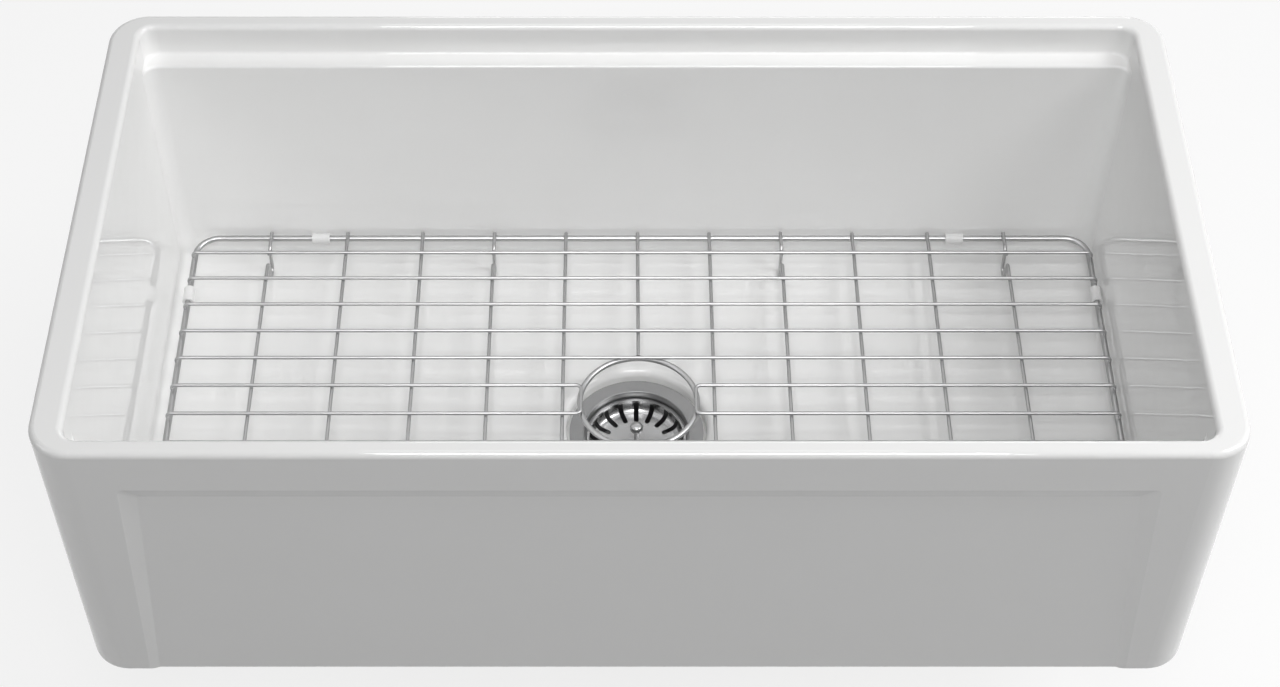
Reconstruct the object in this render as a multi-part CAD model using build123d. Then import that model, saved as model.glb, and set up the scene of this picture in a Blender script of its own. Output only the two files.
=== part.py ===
from build123d import *

import os
from math import hypot, radians, tan

# Farmhouse sink with an apron front, its bottom grid and its basket strainer.
# Millimetres. +Z is up, +Y points to the wall behind the sink, so the apron faces -Y.
# The origin is where the drain's axis crosses the plane of the flat underside.

os.makedirs("parts", exist_ok=True)

# Stands a solid on its base plane.
UP = (Align.CENTER, Align.CENTER, Align.MIN)
# How far a cutter runs past what it cuts.
CUT_MARGIN = 1.0
# Deburring of a sheared wire's end.
WIRE_END_ROUND = 0.5

# ---- Driving dimensions: basin ----
LENGTH = 838.2
WIDTH = 457.2
HEIGHT = 254.0
OUTER_CORNER = 30.0
OUTER_DRAFT = 1.6
RIM_AT_ENDS = 23.8
RIM_AT_SIDES = 15.2
RIM_ROUND = 4.5
BASE_ROUND = 3.0
LEDGE_DROP = 28.0
LEDGE_WIDTH = 15.8
LEDGE_ROUND = 2.5
BOWL_DRAFT = 1.5
BOWL_CORNER = 12.0
FLOOR_THICKNESS = 19.0
FLOOR_FALL = 3.0
FLOOR_ROUND = 7.0
FLOOR_FLAT_BAND = 14.0
SUMP_FLAT_MARGIN = 5.0
SUMP_TO_FLANGE = 2.5
SUMP_DEPTH = 12.6
SUMP_ROUND = 6.0

# The apron's sunk panel: its bevelled edge is wider and deeper at the top than at the bottom.
PANEL_TOP_DROP = 38.0
PANEL_TOP_MARGIN = 59.1
PANEL_BOTTOM_MARGIN = 52.3
PANEL_TOP_DEPTH = 4.3
PANEL_BOTTOM_DEPTH = 2.5
PANEL_TOP_BEVEL = 11.8
PANEL_BOTTOM_BEVEL = 6.8
PANEL_CORNER = 4.0
PANEL_INNER_CORNER = 2.0
PANEL_ROUND = 1.2

# Round pad under the basin, which thickens the clay about the outlet.
PAD_MARGIN = 15.5
PAD_DROP = 12.0
PAD_ROUND = 4.0

# ---- Driving dimensions: strainer and waste ----
FLANGE_OVER_CLAY = 9.0
FLANGE_THICKNESS = 1.6
FLANGE_BEAD = 0.7
FLANGE_GASKET = 2.0
NECK_RADIUS = 43.6
NECK_WALL = 1.4
NECK_TO_CLAY = 1.9
BOWL_DEPTH = 43.0
SHELL_THICKNESS = 1.6
SHOULDER_DEPTH = 8.5
SHOULDER_WIDTH = 2.4
STRAINER_BOTTOM_BEVEL = 6.0
OUTLET_WALL = 4.5
OUTLET_LENGTH = 17.0
SPIDER_DROP = 8.0
SPIDER_THICKNESS = 2.0
SPIDER_BAR = 3.0
SPIDER_HUB = 5.5
SPIDER_ROOT = 1.0
UNDER_GASKET = 3.0
UNDER_GASKET_WIDTH = 14.0
FRICTION_RING = 1.2
FRICTION_RING_WIDTH = 13.0
LOCK_NUT_HEIGHT = 12.0
LOCK_NUT_WIDTH = 9.0
LOCK_NUT_LUGS = 6
LOCK_NUT_LUG = 6.0
LOCK_NUT_LUG_WIDTH = 9.0
LOCK_NUT_LUG_ROOT = 2.0
TAIL_RADIUS = 19.05
TAIL_WALL = 1.15
TAIL_LENGTH = 100.0
TAIL_LIP_TO_NUT = 1.1
TAIL_LIP_THICKNESS = 1.5
TAIL_NECK_RELIEF = 0.5
TAIL_NECK_BELOW_NUT = 0.5
TAIL_WASHER = 2.0
COUPLING_WALL = 4.4
COUPLING_GRIP = 10.0
COUPLING_LIP = 2.4
THREAD_CLEARANCE = 0.1
TUBE_CLEARANCE = 0.3

# ---- Driving dimensions: basket ----
CUP_TO_NECK = 1.4
CUP_LIP_HEIGHT = 1.6
CUP_LIP_ROUND = 0.5
CUP_WALL_SETBACK = 1.6
CUP_SHEET = 0.8
CUP_DEPTH = 10.2
CUP_BEND = 7.0
CUP_SEAT_CLEARANCE = 0.3
SLOT_COUNT = 18
SLOT_WIDTH = 4.1
SLOT_REACH = 7.9
SLOT_TOP_DROP = 2.0
FIRST_SLOT_ANGLE = 90.0
POST_RADIUS = 2.0
POST_FOOT_RADIUS = 5.0
POST_FOOT_RIM = 1.0
POST_FOOT_HEIGHT = 4.5
KNOB_RADIUS = 5.2
KNOB_HEIGHT = 7.0
KNOB_FLAT_RADIUS = 1.0
KNOB_TOP = 25.0
SHANK_RADIUS = 3.0
SHANK_CLEARANCE = 0.05
SPACER_RADIUS = 6.0
STOPPER_LAP = 8.0
STOPPER_THICKNESS = 4.6
STOPPER_EDGE = 1.5
STOPPER_BOSS = 1.0
STOPPER_SEAT_CLEARANCE = 0.3
STOPPER_NUT_ACROSS_FLATS = 10.0
STOPPER_NUT_HEIGHT = 3.0
POST_TIP_LENGTH = 4.0
POST_TIP_CLEARANCE = 0.4

# ---- Driving dimensions: bottom grid ----
GRID_CENTRE_X = 1.5
GRID_HEIGHT = 25.0
ROD_RADIUS = 2.5
ROD_CORNER = 20.0
WIRE_RADIUS = 1.5
WELD_GAP = 0.1
BUMPER_WALL = 2.25
BUMPER_LENGTH = 15.0
BUMPER_ROUND = 1.0
BUMPER_BORE_CLEARANCE = 0.05
BUMPER_TO_WALL = 0.5
LEFT_ROOM = 11.2
RING_TO_CUP = 2.65
RING_ROD_RADIUS = 2.25

# On each side of the middle wire there are five more. The first stands off the drain ring, the
# last stands off the rod, and the shares place the others between these two.
FIRST_WIRE_TO_RING = 10.05
LAST_WIRE_SETBACK = 63.2
LONG_WIRE_SHARES = (0.0, 0.243, 0.486, 0.741, 1.0)
LEGGED_WIRES = (1, 4)
LONG_BUMPER_SHARE = 0.354

# Five whole cross wires in front of the drain and five behind it. The first of each five lies on
# the drain ring, and the last stands off the rod.
ROW_ON_RING = 2.6
LAST_ROW_SETBACK = 23.8
ROWS_EACH_SIDE = 5
SHORT_BUMPER_ROW = 2
SHORT_BUMPER_SHARE = 0.55
TIP_OVERHANG = 0.9
TIP_BEND = 3.5
LEG_SETBACK = 17.4
LEG_FOOT_WIDTH = 11.0
LEG_TOP_WIDTH = 16.5
LEG_BEND = 4.5
FOOT_CLEARANCE = 0.35
HAIRPIN_LAP = 1.0
HAIRPIN_BEND = 4.0

# ---- Heights and half widths that follow ----
BOWL_SLOPE = tan(radians(BOWL_DRAFT))
OUTER_SLOPE = tan(radians(OUTER_DRAFT))
LEDGE_Z = HEIGHT - LEDGE_DROP
MOUTH_HALF_X = LENGTH / 2 - RIM_AT_ENDS
MOUTH_HALF_Y = WIDTH / 2 - RIM_AT_SIDES
LEDGE_HALF_Y = MOUTH_HALF_Y - LEDGE_WIDTH
SUMP_FLOOR_Z = FLOOR_THICKNESS - FLOOR_FALL
SEAT_Z = SUMP_FLOOR_Z - SUMP_DEPTH
PANEL_TOP_HALF = LENGTH / 2 - PANEL_TOP_MARGIN
PANEL_BOTTOM_HALF = LENGTH / 2 - PANEL_BOTTOM_MARGIN
HOLE_RADIUS = NECK_RADIUS + NECK_TO_CLAY
FLANGE_RADIUS = HOLE_RADIUS + FLANGE_OVER_CLAY
SUMP_RADIUS = FLANGE_RADIUS + SUMP_TO_FLANGE
SUMP_FLAT = SUMP_RADIUS + SUMP_ROUND + SUMP_FLAT_MARGIN
PAD_RADIUS = HOLE_RADIUS + UNDER_GASKET_WIDTH + PAD_MARGIN
FLANGE_TOP_Z = SEAT_Z + FLANGE_GASKET + FLANGE_THICKNESS
SHOULDER_Z = FLANGE_TOP_Z - SHOULDER_DEPTH
STRAINER_FLOOR_Z = FLANGE_TOP_Z - BOWL_DEPTH
OUTLET_END_Z = STRAINER_FLOOR_Z - SHELL_THICKNESS - OUTLET_LENGTH
OUTLET_RADIUS = TAIL_RADIUS
OUTLET_OUTER = OUTLET_RADIUS + OUTLET_WALL
TAIL_LIP_RADIUS = OUTLET_OUTER - TAIL_LIP_TO_NUT
NECK_BORE = NECK_RADIUS - NECK_WALL
SHOULDER_BORE = NECK_BORE - SHOULDER_WIDTH
LONG_WIRE_Z = FLOOR_THICKNESS + GRID_HEIGHT
ROD_Z = LONG_WIRE_Z - WIRE_RADIUS - ROD_RADIUS - WELD_GAP
CROSS_WIRE_Z = LONG_WIRE_Z + 2 * WIRE_RADIUS + WELD_GAP
RING_Z = CROSS_WIRE_Z - WIRE_RADIUS - RING_ROD_RADIUS - WELD_GAP
CUP_LIP_BOTTOM = SHOULDER_Z + CUP_SEAT_CLEARANCE
CUP_TOP = CUP_LIP_BOTTOM + CUP_LIP_HEIGHT
CUP_FLOOR_TOP = CUP_TOP - CUP_DEPTH
CUP_LIP_RADIUS = NECK_BORE - CUP_TO_NECK
CUP_WALL_OUTER = CUP_LIP_RADIUS - CUP_WALL_SETBACK
SLOT_INNER_END = CUP_WALL_OUTER - CUP_BEND - SLOT_REACH
STOPPER_BOTTOM = STRAINER_FLOOR_Z + STOPPER_SEAT_CLEARANCE
STOPPER_RADIUS = OUTLET_RADIUS + STOPPER_LAP
BUMPER_RADIUS = ROD_RADIUS + BUMPER_BORE_CLEARANCE + BUMPER_WALL
RING_RADIUS = CUP_LIP_RADIUS + abs(GRID_CENTRE_X) + RING_TO_CUP + RING_ROD_RADIUS


def bowl_half_x(z):
    """Half the bowl's length at height z."""
    return MOUTH_HALF_X - (HEIGHT - z) * BOWL_SLOPE


def bowl_half_y(z):
    """Half the bowl's width at height z, under the ledge."""
    return LEDGE_HALF_Y - (LEDGE_Z - z) * BOWL_SLOPE


def rounded_plate(z, half_x, y_front, y_back, corner):
    """A rounded rectangle at height z, as a sketch."""
    middle = Pos(0, (y_front + y_back) / 2, z)
    return middle * RectangleRounded(2 * half_x, y_back - y_front, corner)


def turned(points):
    """The solid that the closed outline of (radius, z) points sweeps about the drain's axis."""
    outline = make_face(Plane.XZ * Polyline(*points, close=True))
    return revolve(outline, Axis.Z)


def tube(z_bottom, z_top, inner, outer):
    """A plain ring between two heights."""
    height = z_top - z_bottom
    ring = Cylinder(outer, height, align=UP) - Cylinder(inner, height, align=UP)
    return Pos(0, 0, z_bottom) * ring


def bent_wire(points, bends, radius):
    """A round wire along straight runs joined by arcs, one radius for each corner."""
    path = FilletPolyline(*points, radius=bends)
    section = Plane(path @ 0, z_dir=path % 0) * Circle(radius)
    return sweep(section, path=path)


def straight_wire(start, end, radius):
    """A straight round wire with slightly rounded ends."""
    run = Line(start, end)
    rod = extrude(Plane(run @ 0, z_dir=run % 0) * Circle(radius), run.length)
    ends = rod.edges().filter_by(GeomType.CIRCLE)
    return fillet(ends, WIRE_END_ROUND)


def save(solid, name):
    """Write one piece."""
    export_step(solid, "parts/" + name + ".step")


# ---- Basin ----
def basin_outside():
    """The outer block: the apron is upright, the ends and the back lean in towards the bottom."""
    rim_x = LENGTH / 2 + RIM_ROUND * OUTER_SLOPE
    rim_back = WIDTH / 2 + RIM_ROUND * OUTER_SLOPE
    lean = HEIGHT * OUTER_SLOPE
    front = -WIDTH / 2
    foot = rounded_plate(0, rim_x - lean, front, rim_back - lean, OUTER_CORNER)
    top = rounded_plate(HEIGHT, rim_x, front, rim_back, OUTER_CORNER)
    block = loft([foot.face(), top.face()], ruled=True)
    return fillet(block.faces().sort_by(Axis.Z)[0].edges(), BASE_ROUND)


def mouth_space():
    """The space above the ledges, with a small hollow fillet where the ledges meet the walls."""
    foot_x = bowl_half_x(LEDGE_Z)
    foot = rounded_plate(LEDGE_Z, foot_x, -MOUTH_HALF_Y, MOUTH_HALF_Y, BOWL_CORNER)
    top = rounded_plate(HEIGHT, MOUTH_HALF_X, -MOUTH_HALF_Y, MOUTH_HALF_Y, BOWL_CORNER)
    space = loft([foot.face(), top.face()], ruled=True)
    return fillet(space.faces().sort_by(Axis.Z)[0].edges(), LEDGE_ROUND)


def bowl_up_to(z):
    """The space of the bowl from its floor up to height z, between its four leaning walls."""
    floor_y = bowl_half_y(FLOOR_THICKNESS)
    floor = rounded_plate(
        FLOOR_THICKNESS, bowl_half_x(FLOOR_THICKNESS), -floor_y, floor_y, BOWL_CORNER
    )
    top = rounded_plate(z, bowl_half_x(z), -bowl_half_y(z), bowl_half_y(z), BOWL_CORNER)
    space = loft([floor.face(), top.face()], ruled=True)
    return fillet(space.faces().sort_by(Axis.Z)[0].edges(), FLOOR_ROUND)


def ledge_flare():
    """What the ledges' rounded edges add to the bowl's space, kept between the end walls."""
    depth = 4 * LEDGE_ROUND
    band = Pos(0, 0, LEDGE_Z - depth) * Box(LENGTH, WIDTH, depth, align=UP)
    lip = band - bowl_up_to(LEDGE_Z)
    hole_edges = lip.faces().sort_by(Axis.Z)[-1].inner_wires()[0].edges()
    lip = fillet(hole_edges, LEDGE_ROUND)
    deep = rounded_plate(0, bowl_half_x(0), -MOUTH_HALF_Y, MOUTH_HALF_Y, BOWL_CORNER)
    mouth = rounded_plate(
        HEIGHT, MOUTH_HALF_X, -MOUTH_HALF_Y, MOUTH_HALF_Y, BOWL_CORNER
    )
    between_ends = loft([deep.face(), mouth.face()], ruled=True)
    return (band - lip) & between_ends


def floor_slopes():
    """The shallow hollow that falls from the floor's edge to the flat about the sump."""
    edge_x = bowl_half_x(FLOOR_THICKNESS) - FLOOR_FLAT_BAND
    edge_y = bowl_half_y(FLOOR_THICKNESS) - FLOOR_FLAT_BAND
    high = Pos(0, 0, FLOOR_THICKNESS) * Rectangle(2 * edge_x, 2 * edge_y)
    low = Pos(0, 0, SUMP_FLOOR_Z) * Rectangle(2 * SUMP_FLAT, 2 * SUMP_FLAT)
    return loft([low.face(), high.face()], ruled=True)


def panel_outline(plane, bottom_half, top_half, height, corner):
    """A trapezium standing on the sink's underside, with its two top corners rounded."""
    outline = make_face(
        Polyline(
            (-bottom_half, 0),
            (bottom_half, 0),
            (top_half, height),
            (-top_half, height),
            close=True,
        )
    )
    top_corners = outline.vertices().group_by(Axis.Y)[-1]
    return plane * fillet(top_corners, corner)


def panel_cut():
    """The apron's sunk panel with its bevelled edges, open at the bottom."""
    front = -WIDTH / 2
    top_z = HEIGHT - PANEL_TOP_DROP
    inner_top_z = top_z - PANEL_TOP_BEVEL
    lean = PANEL_TOP_DEPTH - PANEL_BOTTOM_DEPTH
    face_plane = Plane((0, front, 0), x_dir=(1, 0, 0), z_dir=(0, -1, 0))
    sunk_plane = Plane(
        (0, front + PANEL_BOTTOM_DEPTH, 0), x_dir=(1, 0, 0), z_dir=(0, -inner_top_z, lean)
    )
    outer = panel_outline(
        face_plane, PANEL_BOTTOM_HALF, PANEL_TOP_HALF, top_z, PANEL_CORNER
    )
    inner = panel_outline(
        sunk_plane,
        PANEL_BOTTOM_HALF - PANEL_BOTTOM_BEVEL,
        PANEL_TOP_HALF - PANEL_TOP_BEVEL,
        hypot(inner_top_z, lean),
        PANEL_INNER_CORNER,
    )
    cut = loft([outer.face(), inner.face()], ruled=True)
    sunk_face = cut.faces().sort_by(Axis.Y)[-1]
    sunk_edges = sunk_face.edges().filter_by(lambda e: e.center().Z > BASE_ROUND)
    return fillet(sunk_edges, PANEL_ROUND)


def basin():
    """The fireclay piece."""
    front = -WIDTH / 2
    body = basin_outside() - panel_cut()
    panel_edges = body.edges().filter_by(
        lambda e: abs(e.center().Y - front) < 0.01
        and abs(e.center().X) < PANEL_BOTTOM_HALF
        and BASE_ROUND < e.center().Z < HEIGHT - BASE_ROUND
    )
    body = fillet(panel_edges, PANEL_ROUND)
    body -= bowl_up_to(HEIGHT) + ledge_flare() + mouth_space()
    body = fillet(body.faces().sort_by(Axis.Z)[-1].edges(), RIM_ROUND)
    body -= floor_slopes()
    body -= Pos(0, 0, SEAT_Z) * Cylinder(SUMP_RADIUS, 2 * SUMP_DEPTH, align=UP)
    sump_edge = body.edges().filter_by(GeomType.CIRCLE).filter_by(
        lambda e: abs(e.center().Z - SUMP_FLOOR_Z) < 0.01 and e.radius > HOLE_RADIUS
    )
    body = fillet(sump_edge, SUMP_ROUND)
    pad = Pos(0, 0, -PAD_DROP) * Cylinder(PAD_RADIUS, PAD_DROP + SEAT_Z, align=UP)
    pad = fillet(pad.faces().sort_by(Axis.Z)[0].edges(), PAD_ROUND)
    hole = Cylinder(HOLE_RADIUS, PAD_DROP + SUMP_FLOOR_Z, align=UP)
    return body + pad - Pos(0, 0, -PAD_DROP) * hole


# ---- Strainer and waste ----
def strainer_body():
    """The turned strainer body: flange, bowl with the cup's shoulder, and threaded outlet."""
    flange_bottom = FLANGE_TOP_Z - FLANGE_THICKNESS
    floor_bottom = STRAINER_FLOOR_Z - SHELL_THICKNESS
    shell = turned(
        [
            (FLANGE_RADIUS, flange_bottom),
            (FLANGE_RADIUS, FLANGE_TOP_Z),
            (NECK_BORE, FLANGE_TOP_Z),
            (NECK_BORE, SHOULDER_Z),
            (SHOULDER_BORE, SHOULDER_Z),
            (SHOULDER_BORE, STRAINER_FLOOR_Z + STRAINER_BOTTOM_BEVEL),
            (SHOULDER_BORE - STRAINER_BOTTOM_BEVEL, STRAINER_FLOOR_Z),
            (OUTLET_RADIUS, STRAINER_FLOOR_Z),
            (OUTLET_RADIUS, OUTLET_END_Z),
            (OUTLET_OUTER, OUTLET_END_Z),
            (OUTLET_OUTER, floor_bottom),
            (NECK_RADIUS - STRAINER_BOTTOM_BEVEL, floor_bottom),
            (NECK_RADIUS, STRAINER_FLOOR_Z + STRAINER_BOTTOM_BEVEL),
            (NECK_RADIUS, flange_bottom),
        ]
    )
    bead = Pos(0, 0, FLANGE_TOP_Z) * Torus(NECK_BORE + FLANGE_BEAD, FLANGE_BEAD)
    bar_length = 2 * (OUTLET_RADIUS + SPIDER_ROOT)
    bars = Pos(0, 0, OUTLET_END_Z + SPIDER_DROP) * (
        Box(bar_length, SPIDER_BAR, SPIDER_THICKNESS)
        + Box(SPIDER_BAR, bar_length, SPIDER_THICKNESS)
        + Cylinder(SPIDER_HUB, SPIDER_THICKNESS)
    )
    hub_hole = Pos(0, 0, OUTLET_END_Z + SPIDER_DROP) * Cylinder(
        POST_RADIUS + POST_TIP_CLEARANCE, 2 * SPIDER_THICKNESS
    )
    return shell + bead + (bars - hub_hole)


def flange_gasket():
    """The flat ring between the flange and the sump."""
    return tube(SEAT_Z, SEAT_Z + FLANGE_GASKET, HOLE_RADIUS, FLANGE_RADIUS)


def under_gasket():
    """The rubber ring against the underside of the pad."""
    top = -PAD_DROP
    outer = HOLE_RADIUS + UNDER_GASKET_WIDTH
    return tube(top - UNDER_GASKET, top, NECK_RADIUS + TUBE_CLEARANCE, outer)


def friction_ring():
    """The thin ring that lets the lock nut turn without dragging the rubber."""
    top = -PAD_DROP - UNDER_GASKET
    outer = HOLE_RADIUS + FRICTION_RING_WIDTH
    return tube(top - FRICTION_RING, top, NECK_RADIUS + TUBE_CLEARANCE, outer)


def lock_nut():
    """The lugged nut that clamps the strainer to the basin."""
    top = -PAD_DROP - UNDER_GASKET - FRICTION_RING
    inner = NECK_RADIUS + THREAD_CLEARANCE
    outer = inner + LOCK_NUT_WIDTH
    nut = tube(top - LOCK_NUT_HEIGHT, top, inner, outer)
    lug_middle = outer + (LOCK_NUT_LUG - LOCK_NUT_LUG_ROOT) / 2
    lug = Pos(lug_middle, 0, top - LOCK_NUT_HEIGHT / 2) * Box(
        LOCK_NUT_LUG + LOCK_NUT_LUG_ROOT, LOCK_NUT_LUG_WIDTH, LOCK_NUT_HEIGHT
    )
    for i in range(LOCK_NUT_LUGS):
        nut += Rot(0, 0, i * 360 / LOCK_NUT_LUGS) * lug
    return nut


def tail_washer():
    """The washer between the outlet and the tailpiece's lip."""
    return tube(OUTLET_END_Z - TAIL_WASHER, OUTLET_END_Z, OUTLET_RADIUS, TAIL_LIP_RADIUS)


def tailpiece():
    """The waste pipe, with the lip and the slimmer neck that hang in the coupling nut."""
    lip_top = OUTLET_END_Z - TAIL_WASHER
    lip_bottom = lip_top - TAIL_LIP_THICKNESS
    neck_bottom = lip_bottom - THREAD_CLEARANCE - COUPLING_LIP - TAIL_NECK_BELOW_NUT
    neck = TAIL_RADIUS - TAIL_NECK_RELIEF
    bore = TAIL_RADIUS - TAIL_WALL
    return turned(
        [
            (bore, lip_top - TAIL_LENGTH),
            (TAIL_RADIUS, lip_top - TAIL_LENGTH),
            (TAIL_RADIUS, neck_bottom),
            (neck, neck_bottom),
            (neck, lip_bottom),
            (TAIL_LIP_RADIUS, lip_bottom),
            (TAIL_LIP_RADIUS, lip_top),
            (bore, lip_top),
        ]
    )


def coupling_nut():
    """The hexagonal nut that draws the tailpiece up to the outlet."""
    lip_bottom = OUTLET_END_Z - TAIL_WASHER - TAIL_LIP_THICKNESS - THREAD_CLEARANCE
    bottom = lip_bottom - COUPLING_LIP
    height = OUTLET_END_Z + COUPLING_GRIP - bottom
    bore = OUTLET_OUTER + THREAD_CLEARANCE
    hexagon = RegularPolygon(bore + COUPLING_WALL, 6, major_radius=False)
    nut = extrude(Pos(0, 0, bottom) * hexagon, height)
    nut -= Pos(0, 0, lip_bottom) * Cylinder(bore, height, align=UP)
    nut -= Pos(0, 0, bottom) * Cylinder(TAIL_RADIUS + TUBE_CLEARANCE, height, align=UP)
    return nut


# ---- Basket ----
def basket_cup():
    """The pressed cup with its rolled lip and its ring of slots."""
    floor_bottom = CUP_FLOOR_TOP - CUP_SHEET
    wall_inner = CUP_WALL_OUTER - CUP_SHEET
    cup = turned(
        [
            (0, floor_bottom),
            (CUP_WALL_OUTER, floor_bottom),
            (CUP_WALL_OUTER, CUP_LIP_BOTTOM),
            (CUP_LIP_RADIUS, CUP_LIP_BOTTOM),
            (CUP_LIP_RADIUS, CUP_TOP),
            (wall_inner, CUP_TOP),
            (wall_inner, CUP_FLOOR_TOP),
            (0, CUP_FLOOR_TOP),
        ]
    )
    cup = fillet(cup.edges().sort_by(Axis.Z)[0], CUP_BEND)
    inner_corner = cup.edges().filter_by(GeomType.CIRCLE).filter_by(
        lambda e: abs(e.center().Z - CUP_FLOOR_TOP) < 0.01
    )
    cup = fillet(inner_corner, CUP_BEND - CUP_SHEET)
    lip_edges = cup.edges().filter_by(GeomType.CIRCLE).filter_by(
        lambda e: abs(e.radius - CUP_LIP_RADIUS) < 0.01
    )
    cup = fillet(lip_edges, CUP_LIP_ROUND)
    cup -= Pos(0, 0, CUP_FLOOR_TOP) * Cylinder(SHANK_RADIUS + SHANK_CLEARANCE, 4 * CUP_SHEET)
    slot_length = CUP_LIP_RADIUS - SLOT_INNER_END
    slot_top = CUP_TOP - SLOT_TOP_DROP
    stadium = SlotOverall(2 * slot_length, SLOT_WIDTH)
    slot = extrude(
        Pos(SLOT_INNER_END + slot_length, 0, floor_bottom - CUT_MARGIN) * stadium,
        slot_top - floor_bottom + CUT_MARGIN,
    )
    for i in range(SLOT_COUNT):
        cup -= Rot(0, 0, FIRST_SLOT_ANGLE + i * 360 / SLOT_COUNT) * slot
    return cup


def basket_post():
    """The knob, its slim post on a flared foot, and the shank through the cup and stopper."""
    knob_middle = CUP_FLOOR_TOP + KNOB_TOP - KNOB_HEIGHT / 2
    tip_top = STOPPER_BOTTOM - STOPPER_NUT_HEIGHT
    tip_bottom = OUTLET_END_Z + SPIDER_DROP - SPIDER_THICKNESS / 2 - POST_TIP_LENGTH
    post = turned(
        [
            (0, tip_bottom),
            (POST_RADIUS, tip_bottom),
            (POST_RADIUS, tip_top),
            (SHANK_RADIUS, tip_top),
            (SHANK_RADIUS, CUP_FLOOR_TOP),
            (POST_FOOT_RADIUS, CUP_FLOOR_TOP),
            (POST_FOOT_RADIUS, CUP_FLOOR_TOP + POST_FOOT_RIM),
            (POST_RADIUS, CUP_FLOOR_TOP + POST_FOOT_HEIGHT),
            (POST_RADIUS, knob_middle),
            (0, knob_middle),
        ]
    )
    half_height = KNOB_HEIGHT / 2
    bulge = Spline(
        (POST_RADIUS, -half_height),
        (KNOB_RADIUS, 0),
        (KNOB_FLAT_RADIUS, half_height),
        tangents=[(1, 0), (-1, 0)],
    )
    core = Polyline(bulge @ 1, (0, half_height), (0, -half_height), bulge @ 0)
    half_knob = make_face(Plane.XZ * (bulge + core))
    return post + Pos(0, 0, knob_middle) * revolve(half_knob, Axis.Z)


def post_spacer():
    """The sleeve that holds the stopper below the cup."""
    top = CUP_FLOOR_TOP - CUP_SHEET
    bottom = STOPPER_BOTTOM + STOPPER_THICKNESS
    return tube(bottom, top, SHANK_RADIUS + SHANK_CLEARANCE, SPACER_RADIUS)


def stopper():
    """The rubber disc that closes the outlet."""
    top = STOPPER_BOTTOM + STOPPER_THICKNESS
    bore = SHANK_RADIUS + SHANK_CLEARANCE
    return turned(
        [
            (bore, STOPPER_BOTTOM),
            (STOPPER_RADIUS, STOPPER_BOTTOM),
            (STOPPER_RADIUS, STOPPER_BOTTOM + STOPPER_EDGE),
            (SPACER_RADIUS + STOPPER_BOSS, top),
            (bore, top),
        ]
    )


def stopper_nut():
    """The small nut under the stopper."""
    bottom = STOPPER_BOTTOM - STOPPER_NUT_HEIGHT
    hexagon = RegularPolygon(STOPPER_NUT_ACROSS_FLATS / 2, 6, major_radius=False)
    nut = extrude(Pos(0, 0, bottom) * hexagon, STOPPER_NUT_HEIGHT)
    bore = Cylinder(SHANK_RADIUS + SHANK_CLEARANCE, 3 * STOPPER_NUT_HEIGHT)
    return nut - Pos(0, 0, bottom) * bore


# ---- Bottom grid ----
ROD_RIGHT = bowl_half_x(ROD_Z) - BUMPER_RADIUS - BUMPER_TO_WALL
ROD_LEFT = -(bowl_half_x(ROD_Z) - BUMPER_RADIUS - LEFT_ROOM)
ROD_Y = bowl_half_y(ROD_Z) - BUMPER_RADIUS - BUMPER_TO_WALL
LONG_WIRE_END = ROD_Y + ROD_RADIUS
LEG_BACK_Y = ROD_Y - LEG_SETBACK
FIRST_WIRE_X = RING_RADIUS + RING_ROD_RADIUS + FIRST_WIRE_TO_RING + WIRE_RADIUS
LAST_WIRE_X = GRID_CENTRE_X - ROD_LEFT - LAST_WIRE_SETBACK
WIRE_RUN = LAST_WIRE_X - FIRST_WIRE_X
LONG_WIRE_X = [FIRST_WIRE_X + share * WIRE_RUN for share in LONG_WIRE_SHARES]
FIRST_ROW_Y = RING_RADIUS - ROW_ON_RING
ROW_PITCH = (ROD_Y - LAST_ROW_SETBACK - FIRST_ROW_Y) / (ROWS_EACH_SIDE - 1)
ROW_Y = [FIRST_ROW_Y + row * ROW_PITCH for row in range(ROWS_EACH_SIDE)]
HAIRPIN_Y = FIRST_ROW_Y / 3
TIP_BOTTOM = ROD_Z + ROD_RADIUS + WELD_GAP


def grid_rod():
    """The closed loop of thick rod round the grid."""
    middle = Pos((ROD_LEFT + ROD_RIGHT) / 2, 0, ROD_Z)
    loop = (middle * RectangleRounded(ROD_RIGHT - ROD_LEFT, 2 * ROD_Y, ROD_CORNER)).wire()
    section = Plane(loop @ 0, z_dir=loop % 0) * Circle(ROD_RADIUS)
    return sweep(section, path=loop)


def drain_ring():
    """The ring over the drain."""
    return Pos(GRID_CENTRE_X, 0, RING_Z) * Torus(RING_RADIUS, RING_ROD_RADIUS)


def long_wire(x):
    """A straight wire from the front rod to the back rod."""
    start = (GRID_CENTRE_X + x, -LONG_WIRE_END, LONG_WIRE_Z)
    end = (GRID_CENTRE_X + x, LONG_WIRE_END, LONG_WIRE_Z)
    return straight_wire(start, end, WIRE_RADIUS)


def centre_wire(side):
    """The short middle wire between the drain ring and the rod; side is 1 at the back."""
    ring_edge = RING_RADIUS + RING_ROD_RADIUS + WELD_GAP
    start = (GRID_CENTRE_X, side * ring_edge, LONG_WIRE_Z)
    end = (GRID_CENTRE_X, side * LONG_WIRE_END, LONG_WIRE_Z)
    return straight_wire(start, end, WIRE_RADIUS)


def floor_height(x, y):
    """Height of the floor's slope under a point."""
    edge_x = bowl_half_x(FLOOR_THICKNESS) - FLOOR_FLAT_BAND
    edge_y = bowl_half_y(FLOOR_THICKNESS) - FLOOR_FLAT_BAND
    along_x = (abs(x) - SUMP_FLAT) / (edge_x - SUMP_FLAT)
    along_y = (abs(y) - SUMP_FLAT) / (edge_y - SUMP_FLAT)
    along = max(along_x, along_y)
    return SUMP_FLOOR_Z + FLOOR_FALL * min(1, max(0, along))


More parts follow.
